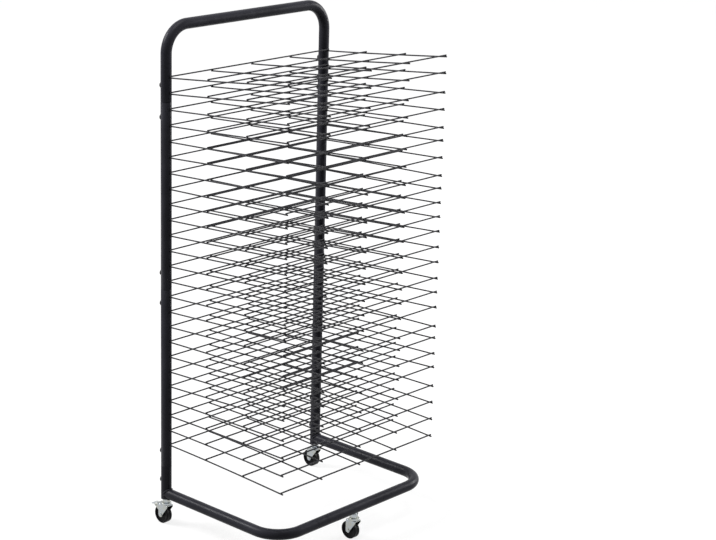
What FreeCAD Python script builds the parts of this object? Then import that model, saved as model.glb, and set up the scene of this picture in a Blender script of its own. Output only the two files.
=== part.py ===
import FreeCAD, Part
import math
import os
import re
import Sketcher

# Mobile art drying rack, in millimetres.
# A welded U of tube stands on three castors.  Two posts in sections and a top bow rise from its rear
# ends, plugged together by inner sleeves and bolted from behind.  Each of the wire shelves has two side
# wires that plug into holes right through the posts, so a shelf stands out forward over the base and
# draws straight out.  The holes are drilled at a slight slope, so the shelves rise towards the front and
# nothing slides off them.
# +X is to the right, +Z up, and the open side of the shelves faces -Y.  The origin lies on the floor,
# midway between the posts and on the line between their axes.

SIZES = (
    ("tube_diameter", 22.0, "outside diameter of the frame tube"),
    ("tube_wall", 1.2, "wall of the frame tube"),
    ("top_bend", 54.0, "radius of the top bow's bends, on the tube's axis"),
    ("base_bend", 60.0, "radius of the base's bends, on the tube's axis"),
    ("post_spacing", 444.0, "post axis to post axis"),
    ("frame_height", 970.0, "base tube axis to top bar axis"),
    ("base_depth", 323.0, "post axis to front bar axis"),
    ("shelf_count", 25, "number of shelves"),
    ("first_shelf", 108.0, "base tube axis to the lowest shelf's side wires"),
    ("top_clearance", 100.0, "top shelf's side wires to the top bar axis"),
    ("shelf_depth", 319.0, "rear cross wire to front cross wire"),
    ("shelf_angle", 3.0, "degrees by which the shelves rise towards the front"),
    ("side_wire", 4.0, "thickness of the two side wires"),
    ("mesh_wire", 3.0, "thickness of the cross wires and the inner wires"),
    ("column_count", 4, "cells across a shelf"),
    ("row_count", 3, "cells from back to front of a shelf"),
    ("side_overhang", 2.0, "cross wires beyond the side wires' axes"),
    ("end_overhang", 3.0, "wires beyond the front and rear cross wires' axes"),
    ("wire_tip", 1.0, "side wires beyond the back of the posts"),
    ("stop_gap", 0.5, "rear cross wire to the front of the posts"),
    ("running_fit", 0.05, "radial clearance of what slides, turns or plugs in"),
    ("sleeve_end", 6.25, "frame bolt's axis to the end of its sleeve"),
    ("sleeve_wall", 1.5, "wall of an inner sleeve"),
    ("bolt_diameter", 6.0, "frame bolt"),
    ("bolt_length", 8.5, "frame bolt under its head"),
    ("bolt_head", 13.0, "frame bolt's flat head, across"),
    ("bolt_head_height", 2.5, "frame bolt's flat head, thick"),
    ("key_width", 4.0, "hexagon socket across flats"),
    ("key_depth", 1.5, "depth of the hexagon socket"),
    ("castor_height", 55.5, "floor to the top of the castor's hexagon"),
    ("socket_flange", 1.5, "flange of a castor socket"),
    ("socket_depth", 16.0, "castor socket above its flange"),
    ("front_socket", 12.0, "diameter of the front bar's socket"),
    ("front_flange", 16.0, "diameter of the front socket's flange"),
    ("stem_diameter", 8.0, "castor stem"),
    ("stem_length", 15.0, "castor stem above its hexagon"),
    ("hexagon_width", 14.0, "castor hexagon across flats"),
    ("hexagon_height", 8.0, "castor hexagon, thick"),
    ("race_diameter", 21.0, "ball race cover across"),
    ("race_thickness", 2.0, "top of the ball race cover"),
    ("race_skirt", 2.6, "skirt of the ball race cover"),
    ("race_wall", 1.2, "wall of the skirt"),
    ("kingpin_diameter", 6.0, "kingpin through the fork"),
    ("kingpin_head", 9.0, "riveted head of the kingpin"),
    ("rivet_head_height", 1.2, "heads of the kingpin and the axle"),
    ("swivel_gap", 0.3, "running gap above and below the fork's crown"),
    ("fork_sheet", 1.5, "sheet of the fork"),
    ("fork_front", 10.5, "swivel axis to the front of the fork's crown"),
    ("crown_boss", 15.0, "diameter of the fork's raised boss"),
    ("boss_height", 2.7, "raised boss above the fork's crown"),
    ("crown_clearance", 3.0, "top of the wheel to the fork's crown"),
    ("axle_boss", 5.5, "radius of the fork's end round the axle"),
    ("wheel_width", 14.0, "castor wheel across its hub"),
    ("wheel_gap", 0.5, "wheel hub to fork, each side"),
    ("wheel_trail", 9.0, "swivel axis to axle"),
    ("wheel_hub", 5.0, "radius of the wheel's hub"),
    ("rim_thickness", 4.0, "rim of the wheel, from its tread to the hollow"),
    ("wheel_recess", 2.5, "depth of the hollow in each side of the wheel"),
    ("tread_chamfer", 1.2, "edge of the tread"),
    ("axle_diameter", 5.0, "castor axle"),
    ("axle_head", 8.0, "head of the axle"),
    ("pedal_clearance", 4.2, "wheel's tread to the axis of the brake pin"),
    ("pedal_angle", 51.34, "degrees by which the brake pin stands above the axle, from level"),
    ("pedal_hub", 2.6, "radius of the brake pedal's hub"),
    ("pedal_cam", 3.8, "reach of the brake pedal's cam from its pin"),
    ("pedal_travel", 20.0, "degrees that the brake pedal turns"),
    ("pedal_reach", 14.0, "brake pin to the pedal's free end"),
    ("pedal_drop", 2.5, "fall of the pedal along its reach"),
    ("pedal_sheet", 1.8, "thickness of the pedal"),
    ("pedal_gap", 0.4, "pedal hub to fork, each side"),
    ("pin_diameter", 3.0, "brake pin"),
    ("pin_end", 0.8, "brake pin beyond the fork"),
    ("ear_radius", 3.2, "fork's ear round the brake pin"),
)

document = FreeCAD.newDocument("art_drying_rack")
sheet = document.addObject("Spreadsheet::Sheet", "sizes")
for row, (alias, value, meaning) in enumerate(SIZES, start=1):
    sheet.set(f"A{row}", str(value))
    sheet.set(f"B{row}", meaning)
    sheet.setAlias(f"A{row}", alias)
document.recompute()
ALIASES = {alias for alias, value, meaning in SIZES}

# Derived sizes, as formulas of the sheet's cells.
TUBE_RADIUS = "(tube_diameter / 2)"
BORE_RADIUS = "(tube_diameter / 2 - tube_wall)"
SLEEVE_RADIUS = "(tube_diameter / 2 - tube_wall - running_fit)"
HALF = "(post_spacing / 2)"
BASE_AXIS = "(castor_height + socket_flange + tube_diameter / 2)"
TUBE_FLOOR = "(castor_height + socket_flange)"
TOP_AXIS = f"({BASE_AXIS} + frame_height)"
FIRST_SHELF = f"({BASE_AXIS} + first_shelf)"
PITCH = "((frame_height - first_shelf - top_clearance) / (shelf_count - 1))"
POST_ROWS = "floor((shelf_count - 1) / 2)"
POST_LENGTH = f"({POST_ROWS} * {PITCH})"
FOOT_JOINT = f"({FIRST_SHELF} - 1.5 * {PITCH})"
MIDDLE_JOINT = f"({FOOT_JOINT} + {POST_LENGTH})"
UPPER_JOINT = f"({MIDDLE_JOINT} + {POST_LENGTH})"
SLEEVE_LENGTH = f"(2 * ({PITCH} + sleeve_end))"
WIRE_HOLE = "(side_wire + 2 * running_fit)"
BOLT_HOLE = "(bolt_diameter + 2 * running_fit)"
REAR_WIRE = "(-(tube_diameter + mesh_wire) / 2 - stop_gap)"
HEXAGON_UNDER = "(castor_height - hexagon_height)"
RACE_UNDER = f"({HEXAGON_UNDER} - race_thickness)"
BOSS_TOP = f"({RACE_UNDER} - swivel_gap)"
CROWN_TOP = f"({BOSS_TOP} - boss_height)"
CROWN_UNDER = f"({CROWN_TOP} - fork_sheet)"
WHEEL_DIAMETER = f"({CROWN_UNDER} - crown_clearance)"
WHEEL_RADIUS = f"({WHEEL_DIAMETER} / 2)"
FORK_INSIDE = "(wheel_width + 2 * wheel_gap)"
FORK_OUTSIDE = f"({FORK_INSIDE} + 2 * fork_sheet)"
PIN_REACH = f"({WHEEL_RADIUS} + pedal_clearance)"
PIN_BACK = f"(wheel_trail + {PIN_REACH} * cos(pedal_angle))"
PIN_UP = f"({WHEEL_RADIUS} + {PIN_REACH} * sin(pedal_angle))"


def linked(formula):
    """The formula with each cell's alias written as a reference to the sheet."""
    return re.sub(r"[a-z_]+", lambda word: f"sizes.{word[0]}" if word[0] in ALIASES else word[0], formula)


def amount(formula):
    """The number that a formula of the sheet's cells gives now."""
    return float(sheet.evalExpression(formula))


def bind(thing, path, formula):
    thing.setExpression(path, linked(formula))


# Sketches -------------------------------------------------------------------------------------------


def new_body(label, x="0", y="0", z="0"):
    body = document.addObject("PartDesign::Body", label)
    body.Label = label
    for letter, formula in zip("xyz", (x, y, z)):
        bind(body, f"Placement.Base.{letter}", formula)
    return body


def origin_part(body, role):
    return next(part for part in body.Origin.OriginFeatures if part.Role == role)


def slope():
    """Turn of a shelf about the posts' axes, which lifts what lies in front of them."""
    return FreeCAD.Rotation(FreeCAD.Vector(-1, 0, 0), amount("shelf_angle"))


def new_sketch(body, name, plane, shift="0"):
    """A sketch on one of the body's own planes, moved along the plane's normal."""
    sketch = body.newObject("Sketcher::SketchObject", name)
    sketch.AttachmentSupport = [(origin_part(body, plane), "")]
    sketch.MapMode = "FlatFace"
    bind(sketch, "AttachmentOffset.Base.z", shift)
    return sketch


def fix_distance(sketch, kind, ends, formula):
    number = sketch.addConstraint(Sketcher.Constraint(kind, *ends, amount(formula)))
    name = f"{kind.lower()}_{number}"
    sketch.renameConstraint(number, name)
    bind(sketch, f"Constraints.{name}", formula)


def fix_point(sketch, geometry, end, x, y):
    """Hold a point of the sketch at x and y from the sketch's origin."""
    for kind, axis, formula in (("DistanceX", -2, x), ("DistanceY", -1, y)):
        if formula == "0":
            sketch.addConstraint(Sketcher.Constraint("PointOnObject", geometry, end, axis))
        else:
            fix_distance(sketch, kind, (-1, 1, geometry, end), formula)


def add_circle(sketch, radius, x="0", y="0"):
    centre = FreeCAD.Vector(amount(x), amount(y), 0)
    circle = Part.Circle(centre, FreeCAD.Vector(0, 0, 1), amount(radius))
    geometry = sketch.addGeometry(circle, False)
    fix_point(sketch, geometry, 3, x, y)
    fix_distance(sketch, "Radius", (geometry,), radius)


def add_outline(sketch, corners):
    """A closed outline of straight lines through corners given as pairs of formulas."""
    points = [FreeCAD.Vector(amount(x), amount(y), 0) for x, y in corners]
    first = sketch.GeometryCount
    for here, there in zip(points, points[1:] + points[:1]):
        sketch.addGeometry(Part.LineSegment(here, there), False)
    for step, (x, y) in enumerate(corners):
        following = first + (step + 1) % len(corners)
        sketch.addConstraint(Sketcher.Constraint("Coincident", first + step, 2, following, 1))
        fix_point(sketch, first + step, 1, x, y)


def add_square(sketch, width, x="0", y="0"):
    ways = ((-1, -1), (1, -1), (1, 1), (-1, 1))
    add_outline(sketch, [(f"{x} + {a} * {width} / 2", f"{y} + {b} * {width} / 2") for a, b in ways])


def add_polygon(sketch, width, sides):
    """A regular polygon round the sketch's origin, width across flats, with a flat at the top."""
    corner = 1 / math.cos(math.pi / sides)
    angles = [2 * math.pi * (step + 0.5) / sides + math.pi / 2 for step in range(sides)]
    ways = [(corner * math.cos(angle), corner * math.sin(angle)) for angle in angles]
    add_outline(sketch, [(f"{a:.9f} * {width} / 2", f"{b:.9f} * {width} / 2") for a, b in ways])


def add_ring(sketch, x="0", y="0"):
    """The section of the frame tube."""
    add_circle(sketch, TUBE_RADIUS, x, y)
    add_circle(sketch, BORE_RADIUS, x, y)


def add_upright(sketch, x):
    """A construction line straight up the sketch at x, to turn things about."""
    foot = FreeCAD.Vector(amount(x), 0, 0)
    geometry = sketch.addGeometry(Part.LineSegment(foot, foot + FreeCAD.Vector(0, 1, 0)), True)
    fix_point(sketch, geometry, 1, x, "0")
    fix_point(sketch, geometry, 2, x, "1")


# Features -------------------------------------------------------------------------------------------


def extrude(body, kind, sketch, length, both_ways=False, backwards=False):
    """A Pad along the sketch's normal, or a Pocket against it, or the other way where backwards."""
    feature = body.newObject(f"PartDesign::{kind}", f"{sketch.Name}_{kind.lower()}")
    feature.Profile = sketch
    feature.SideType = "Symmetric" if both_ways else "One side"
    feature.Reversed = backwards
    bind(feature, "Length", length)
    return feature


def revolve(body, sketch, axis, degrees=360, backwards=False):
    feature = body.newObject("PartDesign::Revolution", f"{sketch.Name}_turned")
    feature.Profile = sketch
    feature.ReferenceAxis = (sketch, [axis])
    feature.Angle = degrees
    feature.Reversed = backwards
    return feature


def repeat_upwards(body, feature, count):
    """Repeat a feature of the body at the shelf pitch."""
    pattern = body.newObject("PartDesign::LinearPattern", f"{feature.Name}_rows")
    pattern.Originals = [feature]
    pattern.Direction = (origin_part(body, "Z_Axis"), [""])
    pattern.Mode = "Spacing"
    bind(pattern, "Offset", PITCH)
    bind(pattern, "Occurrences", count)
    body.Tip = pattern


def cut_wire_holes(body, first, count, sides=("0",)):
    """Sloping holes right through, one above the other, for the shelves' side wires."""
    sketch = new_sketch(body, f"{body.Name}_wire_holes", "XZ_Plane")
    sketch.AttachmentOffset = FreeCAD.Placement(FreeCAD.Vector(), slope())
    bind(sketch, "AttachmentOffset.Base.y", first)
    bind(sketch, "AttachmentOffset.Rotation.Angle", "shelf_angle")
    for x in sides:
        add_square(sketch, WIRE_HOLE, x)
    holes = extrude(body, "Pocket", sketch, "tube_diameter + 2", both_ways=True)
    repeat_upwards(body, holes, count)


def cut_bolt_holes(body, heights, sides=("0",)):
    """Holes through the rear wall for the frame bolts."""
    sketch = new_sketch(body, f"{body.Name}_bolt_holes", "XZ_Plane")
    for x in sides:
        for height in heights:
            add_square(sketch, BOLT_HOLE, x, height)
    extrude(body, "Pocket", sketch, "tube_diameter")


# The frame ------------------------------------------------------------------------------------------


def add_bow(body, plane, level, foot, crest, bend, bar_place):
    """Two legs of tube, a quarter bend on each and the bar between them.

    The legs stand on the plane, at a level of its sketches, and run along its normal from foot to the
    bends; the bar's axis lies at crest, and crosses x = 0 at bar_place.
    """
    bend_start = f"({crest} - {bend})"
    legs = new_sketch(body, f"{body.Name}_legs", plane, foot)
    add_ring(legs, f"-{HALF}", level)
    add_ring(legs, HALF, level)
    extrude(body, "Pad", legs, f"{bend_start} - {foot}")
    for side, sign in (("left", "-"), ("right", "")):
        start = new_sketch(body, f"{body.Name}_{side}_bend", plane, bend_start)
        add_ring(start, f"{sign}{HALF}", level)
        add_upright(start, f"{sign}({HALF} - {bend})")
        revolve(body, start, "Axis0", 90, backwards=side == "right")
    bar = new_sketch(body, f"{body.Name}_bar", "YZ_Plane")
    add_ring(bar, *bar_place)
    extrude(body, "Pad", bar, f"post_spacing - 2 * {bend}", both_ways=True)


def make_top_bow():
    """Inverted U of tube: the push bar, its two bends and two short legs that hold the top shelves."""
    body = new_body("top_bow")
    add_bow(body, "XY_Plane", "0", UPPER_JOINT, TOP_AXIS, "top_bend", ("0", TOP_AXIS))
    sides = (f"-{HALF}", HALF)
    cut_wire_holes(body, f"{UPPER_JOINT} + {PITCH} / 2", f"shelf_count - 2 * {POST_ROWS} + 1", sides)
    cut_bolt_holes(body, (f"{UPPER_JOINT} + {PITCH}",), sides)
    return body


def make_base_frame():
    """U of tube along the floor with a short upright stub welded on each rear end."""
    body = new_body("base_frame")
    add_bow(body, "XZ_Plane", BASE_AXIS, "0", "base_depth", "base_bend", ("-base_depth", BASE_AXIS))
    stub_length = f"{FOOT_JOINT} - {TUBE_FLOOR}"
    stubs = new_sketch(body, "stubs", "XY_Plane", TUBE_FLOOR)
    bores = new_sketch(body, "stub_bores", "XY_Plane", TUBE_FLOOR)
    for x in (f"-{HALF}", HALF):
        add_circle(stubs, TUBE_RADIUS, x)
        add_circle(bores, BORE_RADIUS, x)
    extrude(body, "Pad", stubs, stub_length)
    extrude(body, "Pocket", bores, stub_length, backwards=True)
    cut_bolt_holes(body, (f"{FOOT_JOINT} - {PITCH}",), (f"-{HALF}", HALF))
    seat = new_sketch(body, "front_socket_seat", "XY_Plane", BASE_AXIS)
    add_circle(seat, "front_socket / 2 + running_fit", "0", "-base_depth")
    extrude(body, "Pocket", seat, TUBE_RADIUS)
    return body


def make_post(label, x, joint, first_hole, holes):
    """One straight section of a post, from one joint to the next."""
    body = new_body(label, x, "0", joint)
    ring = new_sketch(body, f"{label}_ring", "XY_Plane")
    add_ring(ring)
    extrude(body, "Pad", ring, POST_LENGTH)
    cut_wire_holes(body, first_hole, holes)
    cut_bolt_holes(body, (PITCH, f"{POST_LENGTH} - {PITCH}"))
    return body


def make_sleeve(label, x, joint, wired):
    """Inner sleeve across a joint, drilled for the shelves beside the joint where there are any."""
    body = new_body(label, x, "0", joint)
    ring = new_sketch(body, f"{label}_ring", "XY_Plane")
    add_circle(ring, SLEEVE_RADIUS)
    add_circle(ring, f"{SLEEVE_RADIUS} - sleeve_wall")
    extrude(body, "Pad", ring, SLEEVE_LENGTH, both_ways=True)
    if wired:
        cut_wire_holes(body, f"-{PITCH} / 2", "2")
    cut_bolt_holes(body, (f"-{PITCH}", PITCH))
    return body


def make_bolt():
    """One flat-headed frame bolt along Y, its seat at the origin and its shank towards -Y."""
    body = new_body("frame_bolt")
    shank = new_sketch(body, "bolt_shank", "XZ_Plane")
    add_polygon(shank, "bolt_diameter", 8)
    extrude(body, "Pad", shank, "bolt_length")
    head = new_sketch(body, "bolt_head_disc", "XZ_Plane")
    add_polygon(head, "bolt_head", 16)
    extrude(body, "Pad", head, "bolt_head_height", backwards=True)
    key = new_sketch(body, "bolt_key", "XZ_Plane", "-bolt_head_height")
    add_polygon(key, "key_width", 6)
    extrude(body, "Pocket", key, "key_depth", backwards=True)
    return body


def make_bolts():
    """The frame bolts, one a shelf pitch below and one above each joint of the posts, at the back."""
    bolt = make_bolt()
    placed = []
    for side, x in (("left", f"-{HALF}"), ("right", HALF)):
        for name, joint in (("foot", FOOT_JOINT), ("middle", MIDDLE_JOINT), ("upper", UPPER_JOINT)):
            for way, sign in (("below", "-"), ("above", "+")):
                copy = document.addObject("Part::Compound", f"bolt_{side}_{name}_{way}")
                copy.Links = [bolt]
                bind(copy, "Placement.Base.x", x)
                bind(copy, "Placement.Base.y", TUBE_RADIUS)
                bind(copy, "Placement.Base.z", f"{joint} {sign} {PITCH}")
                placed.append(copy)
    group = document.addObject("Part::Compound", "frame_bolts")
    group.Links = placed
    return group


# The shelves ----------------------------------------------------------------------------------------


def make_wire(name, thickness, length, x, y, z, along_x):
    """A straight eight-sided wire with flats above and below, along +X or along -Y."""
    sides = 8
    corner = math.cos(math.pi / sides)
    lay = FreeCAD.Rotation(FreeCAD.Vector(0, 1, 0), 90) if along_x else FreeCAD.Rotation(FreeCAD.Vector(1, 0, 0), 90)
    roll = FreeCAD.Rotation(FreeCAD.Vector(0, 0, 1), 180 / sides)
    wire = document.addObject("Part::Prism", name)
    wire.Polygon = sides
    wire.Placement = FreeCAD.Placement(FreeCAD.Vector(), lay * roll)
    bind(wire, "Circumradius", f"{thickness} / 2 / {corner:.9f}")
    bind(wire, "Height", length)
    for letter, formula in zip("xyz", (x, y, z)):
        bind(wire, f"Placement.Base.{letter}", formula)
    return wire


def make_wires():
    """The wires of one shelf, lying level with its side wires' axes at the height of the origin.

    Five run from back to front and four lie across them, face to face at every crossing.  The two side
    wires are longer and thicker than the rest, because they plug into the posts and carry the shelf.
    """
    wires = []
    for side, x in (("left", f"-{HALF}"), ("right", HALF)):
        start = "tube_diameter / 2 + wire_tip"
        length = f"{start} - {REAR_WIRE} + shelf_depth + end_overhang"
        wires.append(make_wire(f"{side}_side_wire", "side_wire", length, x, start, "0", False))
    inner_height = "(side_wire - mesh_wire) / 2"
    for column in range(1, int(amount("column_count"))):
        x = f"-{HALF} + {column} * post_spacing / column_count"
        start = f"{REAR_WIRE} + end_overhang"
        length = "shelf_depth + 2 * end_overhang"
        wires.append(make_wire(f"inner_wire_{column}", "mesh_wire", length, x, start, inner_height, False))
    for row in range(int(amount("row_count")) + 1):
        x = f"-{HALF} - side_overhang"
        y = f"{REAR_WIRE} - {row} * shelf_depth / row_count"
        length = "post_spacing + 2 * side_overhang"
        height = "(side_wire + mesh_wire) / 2"
        wires.append(make_wire(f"cross_wire_{row}", "mesh_wire", length, x, y, height, True))
    return wires


def make_shelves():
    """One node per shelf, numbered from the bottom."""
    wires = make_wires()
    shelves = []
    for step in range(int(amount("shelf_count"))):
        shelf = document.addObject("Part::Compound", f"shelf_{step + 1:02d}")
        shelf.Links = wires
        shelf.Placement = FreeCAD.Placement(FreeCAD.Vector(), slope())
        bind(shelf, "Placement.Rotation.Angle", "shelf_angle")
        bind(shelf, "Placement.Base.z", f"{FIRST_SHELF} + {step} * {PITCH}")
        shelves.append(shelf)
    return shelves


# The castors ----------------------------------------------------------------------------------------


def make_socket(label, x, y, radius, flange_radius):
    """Threaded socket for a castor's stem, with its flange under the tube."""
    bore = "stem_diameter / 2 + running_fit"
    body = new_body(label, x, y, "castor_height")
    section = new_sketch(body, f"{label}_section", "XZ_Plane")
    top = "socket_flange + socket_depth"
    corners = [(bore, "0"), (flange_radius, "0"), (flange_radius, "socket_flange")]
    corners += [(radius, "socket_flange"), (radius, top), (bore, top)]
    add_outline(section, corners)
    revolve(body, section, "V_Axis")
    return body


def make_stem(label, x, y):
    """Stem, hexagon and kingpin in one piece, with the kingpin's head riveted under the fork."""
    body = new_body(label, x, y)
    section = new_sketch(body, f"{label}_section", "XZ_Plane")
    head_top = f"{CROWN_UNDER} - swivel_gap"
    head_under = f"{head_top} - rivet_head_height"
    corners = [("0", head_under), ("kingpin_head / 2", head_under), ("kingpin_head / 2", head_top)]
    corners += [("kingpin_diameter / 2", head_top), ("kingpin_diameter / 2", HEXAGON_UNDER)]
    corners += [("stem_diameter / 2", HEXAGON_UNDER), ("stem_diameter / 2", "castor_height + stem_length")]
    corners += [("0", "castor_height + stem_length")]
    add_outline(section, corners)
    revolve(body, section, "V_Axis")
    hexagon = new_sketch(body, f"{label}_hexagon", "XY_Plane", HEXAGON_UNDER)
    add_polygon(hexagon, "hexagon_width", 6)
    extrude(body, "Pad", hexagon, "hexagon_height")
    return body


def make_race(label, x, y):
    """Dished cover of the ball race, fast on the kingpin under the hexagon."""
    body = new_body(label, x, y)
    section = new_sketch(body, f"{label}_section", "XZ_Plane")
    bore = "kingpin_diameter / 2 + running_fit"
    inside = "race_diameter / 2 - race_wall"
    rim = f"{RACE_UNDER} - race_skirt"
    corners = [(bore, RACE_UNDER), (inside, RACE_UNDER), (inside, rim), ("race_diameter / 2", rim)]
    corners += [("race_diameter / 2", HEXAGON_UNDER), (bore, HEXAGON_UNDER)]
    add_outline(section, corners)
    revolve(body, section, "V_Axis")
    return body


def make_fork(label, x, y, braked):
    """Pressed fork: a crown with a raised boss and two legs that narrow to the axle behind it."""
    body = new_body(label, x, y)
    side = new_sketch(body, f"{label}_side", "YZ_Plane")
    shoulder = f"{CROWN_UNDER} - 2 * fork_sheet"
    corners = [("-fork_front", CROWN_TOP), ("-fork_front", shoulder), ("wheel_trail - axle_boss", WHEEL_RADIUS)]
    corners += [("wheel_trail + axle_boss", WHEEL_RADIUS), ("wheel_trail + axle_boss", CROWN_TOP)]
    add_outline(side, corners)
    extrude(body, "Pad", side, FORK_OUTSIDE, both_ways=True)
    end = new_sketch(body, f"{label}_end", "YZ_Plane")
    add_circle(end, "axle_boss", "wheel_trail", WHEEL_RADIUS)
    extrude(body, "Pad", end, FORK_OUTSIDE, both_ways=True)
    if braked:
        ear = new_sketch(body, f"{label}_ear", "YZ_Plane")
        add_circle(ear, "ear_radius", PIN_BACK, PIN_UP)
        extrude(body, "Pad", ear, FORK_OUTSIDE, both_ways=True)
        web = new_sketch(body, f"{label}_web", "YZ_Plane")
        corners = [("wheel_trail", f"{PIN_UP} + ear_radius"), (PIN_BACK, f"{PIN_UP} + ear_radius")]
        corners += [(PIN_BACK, f"{PIN_UP} - ear_radius"), ("wheel_trail", f"{WHEEL_RADIUS} + axle_boss")]
        add_outline(web, corners)
        extrude(body, "Pad", web, FORK_OUTSIDE, both_ways=True)
    inside = new_sketch(body, f"{label}_inside", "XZ_Plane")
    low = f"{WHEEL_RADIUS} - axle_boss - 1"
    corners = [(f"-{FORK_INSIDE} / 2", low), (f"{FORK_INSIDE} / 2", low)]
    corners += [(f"{FORK_INSIDE} / 2", CROWN_UNDER), (f"-{FORK_INSIDE} / 2", CROWN_UNDER)]
    add_outline(inside, corners)
    extrude(body, "Pocket", inside, f"4 * {WHEEL_DIAMETER}", both_ways=True)
    if braked:
        behind = new_sketch(body, f"{label}_behind_crown", "XZ_Plane", "-(wheel_trail + axle_boss)")
        ear_top = f"{PIN_UP} + 2 * ear_radius"
        corners = [(f"-{FORK_INSIDE} / 2", WHEEL_RADIUS), (f"{FORK_INSIDE} / 2", WHEEL_RADIUS)]
        corners += [(f"{FORK_INSIDE} / 2", ear_top), (f"-{FORK_INSIDE} / 2", ear_top)]
        add_outline(behind, corners)
        extrude(body, "Pocket", behind, WHEEL_DIAMETER)
    boss = new_sketch(body, f"{label}_boss", "XY_Plane", CROWN_TOP)
    add_circle(boss, "crown_boss / 2")
    extrude(body, "Pad", boss, f"{BOSS_TOP} - {CROWN_TOP}")
    king_hole = new_sketch(body, f"{label}_king_hole", "XY_Plane", CROWN_UNDER)
    add_circle(king_hole, "kingpin_diameter / 2 + running_fit")
    extrude(body, "Pocket", king_hole, f"{BOSS_TOP} - {CROWN_UNDER}", backwards=True)
    pin_holes = new_sketch(body, f"{label}_pin_holes", "YZ_Plane")
    add_circle(pin_holes, "axle_diameter / 2 + running_fit", "wheel_trail", WHEEL_RADIUS)
    if braked:
        add_circle(pin_holes, "pin_diameter / 2 + running_fit", PIN_BACK, PIN_UP)
    extrude(body, "Pocket", pin_holes, f"2 * {FORK_OUTSIDE}", both_ways=True)
    return body


def make_axle(label, x, y):
    """Riveted axle across the fork."""
    body = new_body(label, x, f"{y} + wheel_trail", WHEEL_RADIUS)
    section = new_sketch(body, f"{label}_section", "XY_Plane")
    seat = f"{FORK_OUTSIDE} / 2"
    end = f"{FORK_OUTSIDE} / 2 + rivet_head_height"
    corners = [(f"-({end})", "0"), (f"-({end})", "axle_head / 2"), (f"-{seat}", "axle_head / 2")]
    corners += [(f"-{seat}", "axle_diameter / 2"), (seat, "axle_diameter / 2"), (seat, "axle_head / 2")]
    corners += [(end, "axle_head / 2"), (end, "0")]
    add_outline(section, corners)
    revolve(body, section, "H_Axis")
    return body


def make_wheel(label, x, y):
    """One-piece wheel: hub, web hollowed on both sides, and a rim with chamfered tread."""
    body = new_body(label, x, f"{y} + wheel_trail", WHEEL_RADIUS)
    section = new_sketch(body, f"{label}_section", "XY_Plane")
    side = "wheel_width / 2"
    web = "(wheel_width / 2 - wheel_recess)"
    bore = "axle_diameter / 2 + running_fit"
    rim = f"({WHEEL_RADIUS} - rim_thickness)"
    right = [(side, bore), (side, "wheel_hub"), (web, "wheel_hub"), (web, rim), (side, rim)]
    right += [(side, f"{WHEEL_RADIUS} - tread_chamfer"), (f"{side} - tread_chamfer", WHEEL_RADIUS)]
    left = [(f"-({x_size})", radius) for x_size, radius in reversed(right)]
    add_outline(section, right + left)
    revolve(body, section, "H_Axis")
    return body


def make_pedal(label, x, y):
    """Brake pedal: a hub on its pin, a cam beside the tread and a flat tread plate out to the back."""
    body = new_body(label, x, f"{y} + {PIN_BACK}", PIN_UP)
    width = f"{FORK_INSIDE} - 2 * pedal_gap"
    hub = new_sketch(body, f"{label}_hub", "YZ_Plane")
    add_circle(hub, "pedal_hub")
    extrude(body, "Pad", hub, width, both_ways=True)
    towards_wheel = "(180 + pedal_angle + pedal_travel)"
    cam_radius = "(pedal_hub / 2)"
    cam = new_sketch(body, f"{label}_cam", "YZ_Plane")
    offset = f"(pedal_cam - {cam_radius})"
    add_circle(cam, cam_radius, f"{offset} * cos({towards_wheel})", f"{offset} * sin({towards_wheel})")
    extrude(body, "Pad", cam, width, both_ways=True)
    plate = new_sketch(body, f"{label}_plate", "YZ_Plane")
    corners = [("0", "pedal_hub"), ("0", "pedal_hub - pedal_sheet"), ("pedal_reach", "-pedal_drop")]
    corners += [("pedal_reach", "pedal_sheet - pedal_drop")]
    add_outline(plate, corners)
    extrude(body, "Pad", plate, width, both_ways=True)
    hole = new_sketch(body, f"{label}_hole", "YZ_Plane")
    add_circle(hole, "pin_diameter / 2 + running_fit")
    extrude(body, "Pocket", hole, f"2 * {FORK_OUTSIDE}", both_ways=True)
    return body


def make_pin(label, x, y):
    """Plain pin that carries the brake pedal in the fork's ears."""
    body = new_body(label, x, f"{y} + {PIN_BACK}", PIN_UP)
    disc = new_sketch(body, f"{label}_disc", "YZ_Plane")
    add_circle(disc, "pin_diameter / 2")
    extrude(body, "Pad", disc, f"{FORK_OUTSIDE} + 2 * pin_end", both_ways=True)
    return body


def make_castor(place, x, y, braked=False):
    castor = f"castor_{place}"
    nodes = [make_stem(f"{castor}_stem", x, y), make_race(f"{castor}_race", x, y)]
    nodes += [make_fork(f"{castor}_fork", x, y, braked), make_axle(f"{castor}_axle", x, y)]
    nodes += [make_wheel(f"{castor}_wheel", x, y)]
    if braked:
        nodes += [make_pedal(f"{castor}_brake_pedal", x, y), make_pin(f"{castor}_brake_pin", x, y)]
    return nodes


# The whole rack -------------------------------------------------------------------------------------


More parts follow.
